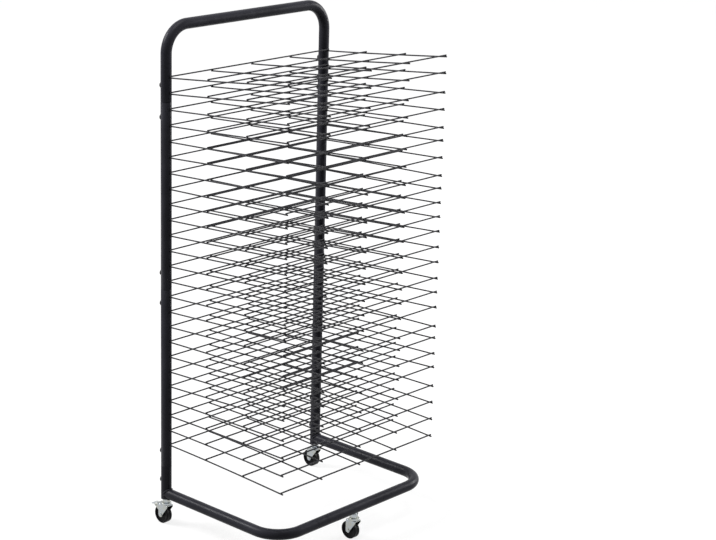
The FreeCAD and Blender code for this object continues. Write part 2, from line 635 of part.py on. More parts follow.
def make_rack():
    nodes = [make_base_frame(), make_top_bow(), make_bolts()]
    for side, x in (("left", f"-{HALF}"), ("right", HALF)):
        nodes.append(make_post(f"lower_post_{side}", x, FOOT_JOINT, f"1.5 * {PITCH}", f"{POST_ROWS} - 1"))
        nodes.append(make_post(f"upper_post_{side}", x, MIDDLE_JOINT, f"{PITCH} / 2", POST_ROWS))
        nodes.append(make_sleeve(f"foot_sleeve_{side}", x, FOOT_JOINT, wired=False))
        nodes.append(make_sleeve(f"middle_sleeve_{side}", x, MIDDLE_JOINT, wired=True))
        nodes.append(make_sleeve(f"upper_sleeve_{side}", x, UPPER_JOINT, wired=True))
        nodes.append(make_socket(f"castor_socket_{side}", x, "0", SLEEVE_RADIUS, TUBE_RADIUS))
    nodes.append(make_socket("castor_socket_front", "0", "-base_depth", "front_socket / 2", "front_flange / 2"))
    nodes += make_castor("left", f"-{HALF}", "0", braked=True)
    nodes += make_castor("right", HALF, "0")
    nodes += make_castor("front", "0", "-base_depth")
    nodes += make_shelves()
    document.recompute()
    return nodes


def check(nodes):
    """Stop if any object failed or any node's solid is missing or broken."""
    for thing in document.Objects:
        faults = {"Invalid", "Error"} & set(thing.State)
        if faults:
            raise RuntimeError(f"{thing.Label} is {sorted(faults)}")
    for node in nodes:
        if node.Shape.isNull() or not node.Shape.Solids or not node.Shape.isValid():
            raise RuntimeError(f"{node.Label} has no sound solid")


def main():
    nodes = make_rack()
    check(nodes)
    os.makedirs("parts", exist_ok=True)
    for node in nodes:
        node.Shape.exportStep(f"parts/{node.Label}.step")
        print(f"{node.Label}: {len(node.Shape.Solids)} solids, {node.Shape.Volume:.1f} cubic millimetres")


main()
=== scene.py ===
import math
import random

import bmesh
import bpy
from mathutils import Matrix, Vector


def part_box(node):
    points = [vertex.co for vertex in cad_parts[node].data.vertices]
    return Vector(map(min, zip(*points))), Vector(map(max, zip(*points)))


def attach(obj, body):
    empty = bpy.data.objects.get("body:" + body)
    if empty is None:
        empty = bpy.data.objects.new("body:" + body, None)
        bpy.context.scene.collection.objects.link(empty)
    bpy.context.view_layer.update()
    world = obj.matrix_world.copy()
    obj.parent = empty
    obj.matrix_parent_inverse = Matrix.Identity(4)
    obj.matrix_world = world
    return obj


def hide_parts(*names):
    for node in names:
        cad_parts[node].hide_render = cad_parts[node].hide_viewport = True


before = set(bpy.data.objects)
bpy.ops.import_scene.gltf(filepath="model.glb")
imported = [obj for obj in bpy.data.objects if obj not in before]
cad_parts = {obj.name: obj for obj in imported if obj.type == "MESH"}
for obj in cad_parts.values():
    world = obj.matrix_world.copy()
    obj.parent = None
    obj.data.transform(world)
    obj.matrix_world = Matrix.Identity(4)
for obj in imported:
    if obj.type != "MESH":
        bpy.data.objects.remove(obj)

bl_info = {
    "name": "Art drying rack",
    "version": (1, 0, 0),
    "blender": (4, 5, 0),
    "location": "View3D > Sidebar > Drying rack",
    "description": "Dresses the tubes, wire shelves and castors of a mobile art drying rack",
    "category": "Object",
}

SIDES = ("left", "right")
CASTORS = ("left", "right", "front")
SHELVES = sorted(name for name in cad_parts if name.startswith("shelf_"))


def middle(node):
    low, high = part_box(node)
    return (low + high) / 2


POST_X = middle("upper_post_right").x
TUBE_RADIUS = (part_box("upper_post_right")[1].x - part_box("upper_post_right")[0].x) / 2
BASE_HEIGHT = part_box("base_frame")[0].z + TUBE_RADIUS
BASE_DEPTH = -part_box("base_frame")[0].y - TUBE_RADIUS
TOP_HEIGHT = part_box("top_bow")[1].z - TUBE_RADIUS

DRILL_SIDES = 24
DRILL_LENGTH = TUBE_RADIUS * 3
SEAM_STEPS = 36         # Steps in the half turn of a weld's seam
SEAM_ENDS = 4           # How many of them it leaves out at either end
SEAM_PROUD = 0.0004
BOLT_SIDES = 24
BOLT_HEAD = ((1.0, 0.0), (1.0, 0.55), (0.94, 0.85), (0.82, 1.0))    # Shares of a head's radius and height
KEY_LIP = 1.12
KEY_CHAMFER = 0.0002
WIRE_SIDES = 12
SIDE_RINGS = 14
INNER_RINGS = 13
CROSS_RINGS = 9
WELD_SQUASH = (1.25, 1.25, 0.55)
BEND_POWER = 1.2        # How late along its depth a shelf bends
SPREAD_POWER = 5        # How late up the rack the shelves' bend sets in
WHEEL_SIDES = 96
FLOOR_REACH = 15.0
FLOOR_GREY = (0.25, 0.25, 0.25, 1.0)
GLOW_NEAR = 0.8
GLOW_FAR = 3.5
LAMP_TARGET = (0.0, -0.15, 0.5)
LAMPS = (
    # Name, place, width and power
    ("left lamp", (-2.0, 2.5, 3.0), 1.8, 170.0),
    ("right lamp", (3.1, -1.2, 1.5), 1.8, 90.0),
    ("top lamp", (0.0, -0.5, 4.0), 2.4, 70.0),
)


# Sizes and finishes ---------------------------------------------------------------------------------


class RackTubeSizes(bpy.types.PropertyGroup):
    top_bend: bpy.props.FloatProperty(
        name="Top bend", description="Radius of the top bow's bends, on the tube's axis",
        default=0.054, min=0.03, unit="LENGTH")
    base_bend: bpy.props.FloatProperty(
        name="Base bend", description="Radius of the base's bends, on the tube's axis",
        default=0.060, min=0.03, unit="LENGTH")
    edge: bpy.props.FloatProperty(
        name="Tube edge", description="Rounding of a cut tube end", default=0.0006, min=0.0, unit="LENGTH")
    wall: bpy.props.FloatProperty(
        name="Wall", description="Thickness of the tubes' wall", default=0.0012, min=0.0005, unit="LENGTH")
    sides: bpy.props.IntProperty(
        name="Sides", description="Flats round a tube", default=64, min=16, max=128)
    bead: bpy.props.FloatProperty(
        name="Weld bead", description="Half the width of a weld bead", default=0.0022, min=0.0005,
        unit="LENGTH")
    ripple: bpy.props.FloatProperty(
        name="Weld ripple", description="Step from one ripple of a weld to the next", default=0.0014,
        min=0.0005, unit="LENGTH")


class RackShelfSizes(bpy.types.PropertyGroup):
    side_wire: bpy.props.FloatProperty(
        name="Side wire", description="Thickness of the two wires that plug into the posts",
        default=0.003, min=0.001, unit="LENGTH")
    seat: bpy.props.FloatProperty(
        name="Seat", description="Height kept for a side wire, in whose middle it lies",
        default=0.004, min=0.001, unit="LENGTH")
    hole: bpy.props.FloatProperty(
        name="Hole", description="Diameter of the posts' holes for the side wires", default=0.0041,
        min=0.001, unit="LENGTH")
    mesh_wire: bpy.props.FloatProperty(
        name="Mesh wire", description="Thickness of all the other wires", default=0.003, min=0.001,
        unit="LENGTH")
    columns: bpy.props.IntProperty(name="Columns", description="Cells across a shelf", default=4, min=1)
    rows: bpy.props.IntProperty(name="Rows", description="Cells from back to front", default=3, min=1)
    depth: bpy.props.FloatProperty(
        name="Depth", description="Rear cross wire to front cross wire", default=0.319, min=0.05,
        unit="LENGTH")
    slope: bpy.props.FloatProperty(
        name="Slope", description="Rise of the shelves towards the front", subtype="ANGLE",
        default=math.radians(3.0))
    stop_gap: bpy.props.FloatProperty(
        name="Stop gap", description="Rear cross wire to the posts", default=0.0005, min=0.0, unit="LENGTH")
    tip: bpy.props.FloatProperty(
        name="Tip", description="Side wires beyond the posts' backs", default=0.001, min=0.0, unit="LENGTH")
    side_overhang: bpy.props.FloatProperty(
        name="Side overhang", description="Cross wires beyond the side wires", default=0.002, min=0.0,
        unit="LENGTH")
    end_overhang: bpy.props.FloatProperty(
        name="End overhang", description="Wires beyond the front and rear cross wires", default=0.003,
        min=0.0, unit="LENGTH")
    spread: bpy.props.FloatProperty(
        name="Spread", description="Lift of the top shelf's front and drop of the bottom shelf's, from use",
        default=0.024, min=0.0, unit="LENGTH")
    wobble: bpy.props.FloatProperty(
        name="Wobble", description="Most that a shelf's front strays beside that", default=0.0063, min=0.0,
        unit="LENGTH")
    seed: bpy.props.IntProperty(
        name="Seed", description="Picks how each shelf's front strays; found by a search, not arbitrary",
        default=6874)


class RackBoltSizes(bpy.types.PropertyGroup):
    head: bpy.props.FloatProperty(
        name="Head", description="Radius of a bolt's flat head", default=0.0065, min=0.003, unit="LENGTH")
    height: bpy.props.FloatProperty(
        name="Head height", description="Thickness of a bolt's head", default=0.0025, min=0.001,
        unit="LENGTH")
    key: bpy.props.FloatProperty(
        name="Key", description="Hexagon socket across flats", default=0.004, min=0.001, unit="LENGTH")
    key_depth: bpy.props.FloatProperty(
        name="Key depth", description="Depth of the hexagon socket", default=0.0015, min=0.0005,
        unit="LENGTH")


class RackWheelSizes(bpy.types.PropertyGroup):
    bore: bpy.props.FloatProperty(
        name="Bore", description="Radius of the hole for the axle", default=0.00255, min=0.001, unit="LENGTH")
    hub: bpy.props.FloatProperty(
        name="Hub", description="Radius of the hub", default=0.005, min=0.003, unit="LENGTH")
    rim: bpy.props.FloatProperty(
        name="Rim", description="Tread to the hollow in the wheel's side", default=0.004, min=0.002,
        unit="LENGTH")
    recess: bpy.props.FloatProperty(
        name="Recess", description="Depth of the hollow in each side", default=0.0025, min=0.0, unit="LENGTH")
    tread_edge: bpy.props.FloatProperty(
        name="Tread edge", description="Rounding of the tread's edges", default=0.0012, min=0.0,
        unit="LENGTH")


class RackFinishes(bpy.types.PropertyGroup):
    paint: bpy.props.FloatVectorProperty(
        name="Frame paint", description="Baked powder paint of the tubes", subtype="COLOR", size=4,
        default=(0.030, 0.030, 0.038, 1.0), min=0.0, max=1.0)
    wire: bpy.props.FloatVectorProperty(
        name="Wire paint", description="Dipped paint of the shelves", subtype="COLOR", size=4,
        default=(0.045, 0.045, 0.050, 1.0), min=0.0, max=1.0)
    zinc: bpy.props.FloatVectorProperty(
        name="Zinc", description="Bright zinc plate of the castors", subtype="COLOR", size=4,
        default=(0.42, 0.44, 0.44, 1.0), min=0.0, max=1.0)
    steel: bpy.props.FloatVectorProperty(
        name="Steel", description="Bare steel of the inner sleeves", subtype="COLOR", size=4,
        default=(0.50, 0.49, 0.48, 1.0), min=0.0, max=1.0)
    wheel: bpy.props.FloatVectorProperty(
        name="Wheel", description="Moulded plastic of the wheels", subtype="COLOR", size=4,
        default=(0.004, 0.004, 0.005, 1.0), min=0.0, max=1.0)
    bolt: bpy.props.FloatVectorProperty(
        name="Bolt", description="Blackened steel of the bolts", subtype="COLOR", size=4,
        default=(0.035, 0.034, 0.034, 1.0), min=0.0, max=1.0)


class RackStudio(bpy.types.PropertyGroup):
    turn: bpy.props.FloatProperty(
        name="Turn", description="Heading of the camera, from +Y towards +X", subtype="ANGLE",
        default=math.radians(47.996))
    tilt: bpy.props.FloatProperty(
        name="Tilt", description="How far the camera looks down", subtype="ANGLE",
        default=math.radians(16.8841))
    roll: bpy.props.FloatProperty(
        name="Roll", description="Roll of the camera about its line of sight", subtype="ANGLE",
        default=math.radians(1.634))
    place: bpy.props.FloatVectorProperty(
        name="Place", description="Where the camera stands", subtype="TRANSLATION", size=3,
        default=(-2.8049, -2.8402, 1.7191))
    lens: bpy.props.FloatProperty(
        name="Lens", description="Focal length in millimetres on a 36 mm sensor", default=100.769, min=1.0)
    near_white: bpy.props.FloatProperty(
        name="Near white", description="Light that the floor adds round the rack, where it is looked at",
        default=0.8, min=0.0)
    far_white: bpy.props.FloatProperty(
        name="Far white", description="The same far from the lamps", default=0.97, min=0.0)
    ambient: bpy.props.FloatProperty(
        name="Ambient", description="Light of the surroundings on the rack", default=0.06, min=0.0)


# Materials ------------------------------------------------------------------------------------------


def put(tree, kind, inputs=None, **settings):
    """Add a node to a tree.  An input takes a value, a socket, or a node whose first output is meant."""
    node = tree.nodes.new(kind)
    for name, value in settings.items():
        setattr(node, name, value)
    for name, value in (inputs or {}).items():
        if isinstance(value, bpy.types.Node):
            tree.links.new(value.outputs[0], node.inputs[name])
        elif isinstance(value, bpy.types.NodeSocket):
            tree.links.new(value, node.inputs[name])
        else:
            node.inputs[name].default_value = value
    return node


def noise(tree, scale, detail=2.0, stretch=(1.0, 1.0, 1.0)):
    """Noise in the object's own space, so many waves to the metre."""
    place = put(tree, "ShaderNodeTexCoord").outputs["Object"]
    stretched = put(tree, "ShaderNodeMapping", {"Vector": place, "Scale": stretch})
    return put(tree, "ShaderNodeTexNoise", {"Vector": stretched, "Scale": scale, "Detail": detail})


def spread(tree, source, low, high, start=0.35, stop=0.65):
    """Carry the middle of a noise to a range of values."""
    inputs = {"Value": source, "From Min": start, "From Max": stop, "To Min": low, "To Max": high}
    return put(tree, "ShaderNodeMapRange", inputs)


def tinted(tree, source, one, other):
    """A colour that wanders between two with a noise."""
    mix = put(tree, "ShaderNodeMix", data_type="RGBA")
    tree.links.new(spread(tree, source, 0.0, 1.0).outputs[0], mix.inputs[0])
    mix.inputs[6].default_value = one
    mix.inputs[7].default_value = other
    return mix.outputs[2]


def shade(colour, factor):
    return (*(min(1.0, part * factor) for part in colour[:3]), 1.0)


def new_material(name, **constants):
    """A material with a plain shader whose constants are set by socket name, with _ for a space."""
    material = bpy.data.materials.new(name)
    material.use_nodes = True
    shader = material.node_tree.nodes["Principled BSDF"]
    for socket, value in constants.items():
        shader.inputs[socket.replace("_", " ")].default_value = value
    return material, material.node_tree, shader


def join_shader(tree, shader, colour, roughness, height, depth, strength):
    tree.links.new(colour, shader.inputs["Base Color"])
    tree.links.new(roughness.outputs[0], shader.inputs["Roughness"])
    bump = put(tree, "ShaderNodeBump", {"Height": height, "Distance": depth, "Strength": strength})
    tree.links.new(bump.outputs[0], shader.inputs["Normal"])


def powder_paint(name, colour, gloss):
    """Baked powder paint: fine orange peel over a sheen that wanders a little."""
    material, tree, shader = new_material(name, IOR=1.5, Specular_IOR_Level=0.06)
    peel = noise(tree, 900.0, 3.0)
    tone = tinted(tree, noise(tree, 14.0), shade(colour, 0.85), shade(colour, 1.25))
    sheen = spread(tree, noise(tree, 55.0, 4.0), gloss - 0.05, gloss + 0.07)
    join_shader(tree, shader, tone, sheen, peel, 0.00012, 0.35)
    return material


def zinc_plate(name, colour):
    """Bright zinc over pressed steel: drawing lines, and a passivate that turns from blue to straw."""
    material, tree, shader = new_material(name, Metallic=1.0)
    lines = noise(tree, 700.0, 4.0, (1.0, 1.0, 0.12))
    blue = (colour[0] * 0.94, colour[1] * 0.97, min(1.0, colour[2] * 1.04), 1.0)
    straw = (colour[0], colour[1] * 0.97, colour[2] * 0.88, 1.0)
    tone = tinted(tree, noise(tree, 120.0), blue, straw)
    polish = spread(tree, noise(tree, 350.0, 4.0), 0.16, 0.34)
    join_shader(tree, shader, tone, polish, lines, 0.00008, 0.3)
    return material


def bare_steel(name, colour):
    """Drawn steel tube with lengthwise lines."""
    material, tree, shader = new_material(name, Metallic=1.0)
    lines = noise(tree, 900.0, 5.0, (1.0, 1.0, 0.05))
    tone = tinted(tree, noise(tree, 40.0), shade(colour, 0.8), shade(colour, 1.15))
    polish = spread(tree, lines, 0.3, 0.5)
    join_shader(tree, shader, tone, polish, lines, 0.0001, 0.3)
    return material


def black_oxide(name, colour):
    """Blackened bolt steel, worn brighter in grains."""
    material, tree, shader = new_material(name, Metallic=0.7)
    grain = noise(tree, 1100.0, 5.0)
    tone = tinted(tree, noise(tree, 260.0, 4.0), shade(colour, 0.7), shade(colour, 1.8))
    polish = spread(tree, grain, 0.32, 0.5)
    join_shader(tree, shader, tone, polish, grain, 0.00006, 0.3)
    return material


def moulded_plastic(name, colour):
    """Hard wheel plastic with a fine spark-eroded grain and scuffs where it rolls."""
    material, tree, shader = new_material(name, IOR=1.46, Specular_IOR_Level=0.1)
    grain = noise(tree, 1500.0, 3.0)
    tone = tinted(tree, noise(tree, 160.0, 4.0), shade(colour, 0.8), shade(colour, 1.9))
    polish = spread(tree, noise(tree, 220.0, 4.0), 0.34, 0.55)
    join_shader(tree, shader, tone, polish, grain, 0.00008, 0.4)
    return material


def finish_of(name):
    """The material of that name, made the first time it is asked for."""
    if name in bpy.data.materials:
        return bpy.data.materials[name]
    finishes = bpy.context.scene.rack_finishes
    makers = {
        "frame paint": lambda: powder_paint(name, finishes.paint, 0.30),
        "wire paint": lambda: powder_paint(name, finishes.wire, 0.36),
        "zinc plate": lambda: zinc_plate(name, finishes.zinc),
        "sleeve steel": lambda: bare_steel(name, finishes.steel),
        "bolt black": lambda: black_oxide(name, finishes.bolt),
        "wheel plastic": lambda: moulded_plastic(name, finishes.wheel),
    }
    return makers[name]()


# Meshes ---------------------------------------------------------------------------------------------


def show(name, mesh):
    thing = bpy.data.objects.new(name, mesh)
    bpy.context.scene.collection.objects.link(thing)
    return thing


def mesh_from(name, work):
    mesh = bpy.data.meshes.new(name)
    work.to_mesh(mesh)
    work.free()
    return mesh


def smooth(mesh, angle=0.6):
    """Shade smooth, with sharp edges where faces meet at more than an angle."""
    work = bmesh.new()
    work.from_mesh(mesh)
    for face in work.faces:
        face.smooth = True
    for edge in work.edges:
        edge.smooth = len(edge.link_faces) == 2 and edge.calc_face_angle(0.0) < angle
    work.to_mesh(mesh)
    work.free()


def round_edges(thing, width, angle=0.6):
    bevel = thing.modifiers.new("rounded edges", "BEVEL")
    bevel.width = width
    bevel.segments = 2
    bevel.limit_method = "ANGLE"
    bevel.angle_limit = angle
    bevel.harden_normals = True


def paint_over(thing, material):
    thing.data.materials.clear()
    thing.data.materials.append(material)


def dress(thing, body, slot, *nodes):
    """The piece moves with a body and stands for CAD nodes."""
    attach(thing, body)
    if nodes:
        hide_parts(*nodes)


def polished(node, body, slot, finish, edge):
    """A copy of a CAD node with its flat faces joined, its edges rounded and a finish of its own."""
    work = bmesh.new()
    work.from_mesh(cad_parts[node].data)
    bmesh.ops.remove_doubles(work, verts=work.verts, dist=2e-6)
    bmesh.ops.dissolve_limit(work, angle_limit=0.002, verts=work.verts, edges=work.edges)
    copy = show(f"{node}_finished", mesh_from(node, work))
    smooth(copy.data)
    if edge:
        round_edges(copy, edge)
    paint_over(copy, finish_of(finish))
    dress(copy, body, slot, node)
    return copy


# Geometry trees -------------------------------------------------------------------------------------


def new_tree(name, inputs):
    """A geometry tree with named inputs.  Returns it with the node that gives them."""
    tree = bpy.data.node_groups.new(name, "GeometryNodeTree")
    tree.interface.new_socket("Geometry", in_out="INPUT", socket_type="NodeSocketGeometry")
    for label, kind in inputs:
        tree.interface.new_socket(label, in_out="INPUT", socket_type=f"NodeSocket{kind}")
    tree.interface.new_socket("Geometry", in_out="OUTPUT", socket_type="NodeSocketGeometry")
    return tree, tree.nodes.new("NodeGroupInput")


def close_tree(tree, given, geometry):
    """End a tree with smooth shading, real geometry and its material."""
    soft = put(tree, "GeometryNodeSetShadeSmooth", {"Geometry": geometry})
    real = put(tree, "GeometryNodeRealizeInstances", {"Geometry": soft})
    done = put(tree, "GeometryNodeSetMaterial", {"Geometry": real, "Material": given.outputs["Material"]})
    put(tree, "NodeGroupOutput", {"Geometry": done})


def reckon(tree, operation, *values):
    return put(tree, "ShaderNodeMath", dict(enumerate(values)), operation=operation).outputs[0]


def vector(tree, x=0.0, y=0.0, z=0.0):
    return put(tree, "ShaderNodeCombineXYZ", {"X": x, "Y": y, "Z": z}).outputs[0]


def grow(name, tree, values, base=None):
    """Run a tree on a base mesh and keep what it makes as a plain mesh object."""
    seed = show(f"{name}_seed", base or bpy.data.meshes.new(f"{name}_seed"))
    shape = seed.modifiers.new("shape", "NODES")
    shape.node_group = tree
    for socket in tree.interface.items_tree:
        if socket.item_type == "SOCKET" and socket.in_out == "INPUT" and socket.name in values:
            shape[socket.identifier] = values[socket.name]
    grown = seed.evaluated_get(bpy.context.evaluated_depsgraph_get())
    mesh = bpy.data.meshes.new_from_object(grown)
    bpy.data.objects.remove(seed)
    return show(name, mesh)


def joined(name, things):
    """One mesh object from several, with the first one's material."""
    work = bmesh.new()
    for thing in things:
        work.from_mesh(thing.data)
    material = things[0].data.materials[0]
    for thing in things:
        bpy.data.objects.remove(thing)
    whole = show(name, mesh_from(name, work))
    paint_over(whole, material)
    return whole


# Tubes ----------------------------------------------------------------------------------------------


def tube_tree():
    """Round tube along a line of points."""
    inputs = (("Radius", "Float"), ("Sides", "Int"), ("Material", "Material"))
    tree, given = new_tree("Tube along a line", inputs)
    line = put(tree, "GeometryNodeMeshToCurve", {"Mesh": given.outputs["Geometry"]})
    ring = put(tree, "GeometryNodeCurvePrimitiveCircle",
               {"Resolution": given.outputs["Sides"], "Radius": given.outputs["Radius"]})
    tube = put(tree, "GeometryNodeCurveToMesh", {"Curve": line, "Profile Curve": ring, "Fill Caps": True})
    close_tree(tree, given, tube)
    return tree


def path_mesh(points):
    mesh = bpy.data.meshes.new("path")
    edges = [(step, step + 1) for step in range(len(points) - 1)]
    mesh.from_pydata(points, edges, [])
    return mesh


def bend_points(centre, start, turn, radius, flat, steps=24):
    """Points round a quarter bend, in the XZ plane or, where flat, in the XY plane."""
    points = []
    for step in range(1, steps):
        angle = start + turn * step / steps
        across, along = radius * math.cos(angle), radius * math.sin(angle)
        points.append(centre + (Vector((across, along, 0.0)) if flat else Vector((across, 0.0, along))))
    return points


def bow_points(foot, crest, radius, height=None):
    """Axis of a bow that stands up to crest, or lies at a height and reaches out to crest."""
    flat = height is not None

    def point(x, along):
        return Vector((x, along, height)) if flat else Vector((x, 0.0, along))

    way = 1.0 if crest > foot else -1.0
    quarter = math.pi / 2
    bend = crest - way * radius
    points = [point(-POST_X, foot), point(-POST_X, bend)]
    points += bend_points(point(-POST_X + radius, bend), math.pi, -way * quarter, radius, flat)
    points += [point(-POST_X + radius, crest), point(POST_X - radius, crest)]
    points += bend_points(point(POST_X - radius, bend), way * quarter, -way * quarter, radius, flat)
    return points + [point(POST_X, bend), point(POST_X, foot)]


def make_tube(name, points, sizes, tree):
    values = {"Radius": TUBE_RADIUS, "Sides": sizes.sides, "Material": finish_of("frame paint")}
    tube = grow(name, tree, values, path_mesh(points))
    smooth(tube.data)
    return tube


def rod(work, radius, length, place):
    """Round rod along the Z axis of a matrix."""
    bmesh.ops.create_cone(work, cap_ends=True, segments=DRILL_SIDES, radius1=radius, radius2=radius,
                          depth=length, matrix=place)


def cut(thing, tool):
    """Take a tool's shape out of a piece for good, and put the tool away."""
    change = thing.modifiers.new("cut", "BOOLEAN")
    change.operation = "DIFFERENCE"
    change.solver = "EXACT"
    change.object = tool
    whole = thing.evaluated_get(bpy.context.evaluated_depsgraph_get())
    mesh = bpy.data.meshes.new_from_object(whole)
    thing.modifiers.clear()
    thing.data = mesh
    bpy.data.objects.remove(tool)


def bore_tool(x, low, high, radius):
    """A rod down a whole post section, past both of its ends."""
    work = bmesh.new()
    rod(work, radius, high - low + TUBE_RADIUS, Matrix.Translation((x, 0.0, (low + high) / 2)))
    return show("bore", mesh_from("bore", work))


def wire_height(node, sizes):
    """Where the side wires of a shelf cross the plane of the posts' axes."""
    reach = (TUBE_RADIUS + sizes.tip) * math.sin(sizes.slope)
    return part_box(node)[0].z + reach + sizes.seat / 2 * math.cos(sizes.slope)


def drill_tool(x, low, high, sizes):
    """A rod through every hole of a post section, along the slope of the shelves."""
    work = bmesh.new()
    tilt = Matrix.Rotation(math.pi / 2 - sizes.slope, 4, "X")
    for node in SHELVES:
        height = wire_height(node, sizes)
        if low < height < high:
            rod(work, sizes.hole / 2, DRILL_LENGTH, Matrix.Translation((x, 0.0, height)) @ tilt)
    return show("drill", mesh_from("drill", work))


def saddle_points(x, upper):
    """Seam where a base arm meets its post: half a loop over or under the arm's side."""
    points = []
    for step in range(SEAM_ENDS, SEAM_STEPS - SEAM_ENDS + 1):
        angle = math.pi * step / SEAM_STEPS * (1.0 if upper else -1.0)
        across, rise = TUBE_RADIUS * math.cos(angle), TUBE_RADIUS * math.sin(angle)
        points.append(Vector((x + across, -abs(rise) - SEAM_PROUD, BASE_HEIGHT + rise)))
    return points


def bead_tree():
    """Row of overlapping ripples along a line: a weld bead."""
    inputs = (("Bead", "Float"), ("Ripple", "Float"), ("Material", "Material"))
    tree, given = new_tree("Weld bead", inputs)
    line = put(tree, "GeometryNodeMeshToCurve", {"Mesh": given.outputs["Geometry"]})
    steps = put(tree, "GeometryNodeResampleCurve", {"Curve": line, "Length": given.outputs["Ripple"]},
                mode="LENGTH")
    drop = put(tree, "GeometryNodeMeshIcoSphere", {"Radius": given.outputs["Bead"], "Subdivisions": 2})
    row = put(tree, "GeometryNodeInstanceOnPoints", {"Points": steps, "Instance": drop})
    close_tree(tree, given, row)
    return tree


class RackOperator(bpy.types.Operator):
    bl_options = {"REGISTER", "UNDO"}

    def execute(self, context):
        self.make(context.scene)
        return {"FINISHED"}


class RACK_OT_tubes(RackOperator):
    """Make the base, the four bored and drilled post sections and the undrilled top bow"""
    bl_idname = "rack.tubes"
    bl_label = "Tubes"

    def make(self, scene):
        sizes = scene.rack_tubes
        tree = tube_tree()
        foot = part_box("top_bow")[0].z
        bow = make_tube("push_bow", bow_points(foot, TOP_HEIGHT, sizes.top_bend), sizes, tree)
        round_edges(bow, sizes.edge)
        dress(bow, "frame", "frame_paint", "top_bow")
        for section in ("lower_post", "upper_post"):
            for side in SIDES:
                node = f"{section}_{side}"
                low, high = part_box(node)
                x = middle(node).x
                post = make_tube(f"{node}_tube", [Vector((x, 0, low.z)), Vector((x, 0, high.z))], sizes, tree)
                round_edges(post, sizes.edge)
                cut(post, bore_tool(x, low.z, high.z, TUBE_RADIUS - sizes.wall))
                cut(post, drill_tool(x, low.z, high.z, scene.rack_shelves))
                smooth(post.data, angle=0.4)
                dress(post, "frame", "frame_paint", node)
        self.make_base(sizes, tree)

    def make_base(self, sizes, tree):
        """The U on the floor with its two welded stubs and their beads, as one piece."""
        low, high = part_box("base_frame")
        points = bow_points(0.0, -BASE_DEPTH, sizes.base_bend, BASE_HEIGHT)
        parts = [make_tube("base_bow", points, sizes, tree)]
        beads = bead_tree()
        values = {"Bead": sizes.bead, "Ripple": sizes.ripple, "Material": finish_of("frame paint")}
        for x in (-POST_X, POST_X):
            parts.append(make_tube("base_stub", [Vector((x, 0, low.z)), Vector((x, 0, high.z))], sizes, tree))
            parts.append(grow("base_weld", beads, values, path_mesh(saddle_points(x, True))))
            parts.append(grow("base_weld", beads, values, path_mesh(saddle_points(x, False))))
        base = joined("base_bow_and_stubs", parts)
        smooth(base.data)
        dress(base, "frame", "frame_paint", "base_frame")


class RACK_OT_sleeves(RackOperator):
    """Give the steel sleeves inside the posts their finish"""
    bl_idname = "rack.sleeves"
    bl_label = "Sleeves"

    def make(self, scene):
        for place in ("foot", "middle", "upper"):
            for side in SIDES:
                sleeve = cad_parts[f"{place}_sleeve_{side}"]
                paint_over(sleeve, finish_of("sleeve steel"))


# Bolts ----------------------------------------------------------------------------------------------


def ring_points(radius, y, count):
    turns = [math.tau * step / count for step in range(count)]
    return [(radius * math.cos(turn), y, radius * math.sin(turn)) for turn in turns]


def loft(work, rings):
    """Skin between rings of as many points, and cap the first and last."""
    loops = [[work.verts.new(point) for point in ring] for ring in rings]
    count = len(loops[0])
    for near, far in zip(loops, loops[1:]):
        for step in range(count):
            after = (step + 1) % count
            work.faces.new((near[step], near[after], far[after], far[step]))
    work.faces.new(loops[0])
    work.faces.new(loops[-1])
    bmesh.ops.recalc_face_normals(work, faces=work.faces)


def bolt_mesh(sizes):
    """A flat round head with a hexagon socket, its underside at y = 0 and its face towards +Y."""
    work = bmesh.new()
    head, height = sizes.head, sizes.height
    corner = sizes.key / math.sqrt(3)
    floor = height - sizes.key_depth
    rings = [ring_points(head * across, height * up, BOLT_SIDES) for across, up in BOLT_HEAD]
    rings += [ring_points(corner * KEY_LIP, height, BOLT_SIDES)]
    hexagon = []
    for step in range(BOLT_SIDES):
        turn = math.tau * step / BOLT_SIDES
        reach = corner * math.cos(math.pi / 6) / math.cos((turn % (math.pi / 3)) - math.pi / 6)
        hexagon.append((reach * math.cos(turn), reach * math.sin(turn)))
    rings += [[(x, y, z) for x, z in hexagon] for y in (height - KEY_CHAMFER, floor)]
    loft(work, rings)
    return mesh_from("bolt", work)


def bolts_tree():
    """One bolt on each side of every joint of both posts, from the bolt that comes in."""
    inputs = (("Spacing", "Float"), ("Joints", "Int"), ("Section", "Float"), ("Half gap", "Float"),
              ("First", "Float"), ("Seat", "Float"), ("Material", "Material"))
    tree, given = new_tree("Bolts at joints", inputs)
    out = given.outputs
    gap = reckon(tree, "MULTIPLY", out["Half gap"], 2.0)
    pair = put(tree, "GeometryNodeMeshLine",
               {"Count": 2, "Start Location": vector(tree, z=reckon(tree, "MULTIPLY", out["Half gap"], -1.0)),
                "Offset": vector(tree, z=gap)}, mode="OFFSET")
    column = put(tree, "GeometryNodeMeshLine",
                 {"Count": out["Joints"], "Start Location": vector(tree, y=out["Seat"], z=out["First"]),
                  "Offset": vector(tree, z=out["Section"])}, mode="OFFSET")
    left = reckon(tree, "MULTIPLY", out["Spacing"], -0.5)
    across = put(tree, "GeometryNodeMeshLine",
                 {"Count": 2, "Start Location": vector(tree, x=left),
                  "Offset": vector(tree, x=out["Spacing"])}, mode="OFFSET")
    pairs = put(tree, "GeometryNodeInstanceOnPoints", {"Points": pair, "Instance": out["Geometry"]})
    columns = put(tree, "GeometryNodeInstanceOnPoints", {"Points": column, "Instance": pairs})
    both = put(tree, "GeometryNodeInstanceOnPoints", {"Points": across, "Instance": columns})
    close_tree(tree, given, both)
    return tree


